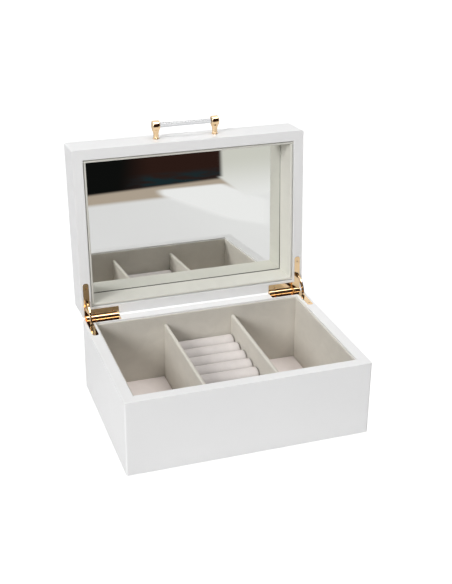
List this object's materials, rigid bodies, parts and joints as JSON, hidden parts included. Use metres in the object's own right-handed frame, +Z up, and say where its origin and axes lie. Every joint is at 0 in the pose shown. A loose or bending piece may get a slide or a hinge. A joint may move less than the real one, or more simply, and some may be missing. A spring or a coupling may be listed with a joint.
{
  "type": "vanity box with mirror",
  "caption": "Lacquered jewellery box with a hinged lid, a mirror inside it, lined compartments, padded ring rolls and a small bar handle.",
  "frame": {"origin": "centre of the flat felt face that the box stands on", "axes": "+Z up, +X to the right of someone in front of the box, -Y the front; metres; the lid is open on its stays"},
  "size_m": [0.25, 0.2335, 0.2784],
  "materials": {
    "lacquered_board": "white satin lacquer",
    "panel_board": "bare board",
    "felt": "felt",
    "greige_suede": "greige microsuede on card",
    "blush_suede": "blush beige microsuede",
    "polished_gold": "polished, gold plated",
    "clear_bar": "clear acrylic, glossy",
    "screw_steel": "zinc plated",
    "mirror_glass": "silvered glass",
    "mounting_tape": "foam tape"
  },
  "bodies": {
    "case": {"case_front": "lacquered_board", "case_back": "lacquered_board", "case_left": "lacquered_board", "case_right": "lacquered_board", "case_bottom": "panel_board", "case_felt": "felt", "lining_front": "greige_suede", "lining_back": "greige_suede", "lining_left": "greige_suede", "lining_right": "greige_suede", "floor_pad_left": "blush_suede", "floor_pad_right": "blush_suede", "divider_left": "greige_suede", "divider_right": "greige_suede", "ring_tray": "blush_suede", "ring_roll_1": "blush_suede", "ring_roll_2": "blush_suede", "ring_roll_3": "blush_suede", "ring_roll_4": "blush_suede", "ring_roll_5": "blush_suede", "ring_roll_6": "blush_suede", "ring_roll_7": "blush_suede", "ring_roll_8": "blush_suede", "hinge_base_leaf_left": "polished_gold", "hinge_base_leaf_right": "polished_gold", "hinge_pin_left": "polished_gold", "hinge_pin_right": "polished_gold", "base_hinge_screws": "polished_gold"},
    "stay_left": {"stay_arm_left": "polished_gold", "stay_stops_left": "polished_gold"},
    "stay_right": {"stay_arm_right": "polished_gold", "stay_stops_right": "polished_gold"},
    "lid": {"lid_front": "lacquered_board", "lid_back": "lacquered_board", "lid_left": "lacquered_board", "lid_right": "lacquered_board", "lid_top": "lacquered_board", "lid_lining_front": "greige_suede", "lid_lining_back": "greige_suede", "lid_lining_left": "greige_suede", "lid_lining_right": "greige_suede", "mirror_glass": "mirror_glass", "mirror_tape": "mounting_tape", "hinge_lid_leaf_left": "polished_gold", "hinge_lid_leaf_right": "polished_gold", "lid_hinge_screws": "polished_gold", "handle_post_left": "polished_gold", "handle_post_right": "polished_gold", "handle_bar": "clear_bar", "handle_screws": "screw_steel"}
  },
  "joints": [
    {"name": "lid_hinge", "type": "hinge", "parent": "case", "child": "lid", "pos_m": [0, 0.0908, 0.0803], "axis": [1, 0, 0], "range_deg": [0, 94]},
    {"name": "stay_left_swing", "type": "hinge", "parent": "case", "child": "stay_left", "pos_m": [-0.1193, 0.0908, 0.0803], "axis": [1, 0, 0], "range_deg": [0, 47]},
    {"name": "stay_right_swing", "type": "hinge", "parent": "case", "child": "stay_right", "pos_m": [0.1193, 0.0908, 0.0803], "axis": [1, 0, 0], "range_deg": [0, 47]}
  ],
  "couplings": [
    {"joint": "stay_left_swing", "follows": "lid_hinge", "ratio": 0.5},
    {"joint": "stay_right_swing", "follows": "lid_hinge", "ratio": 0.5}
  ]
}
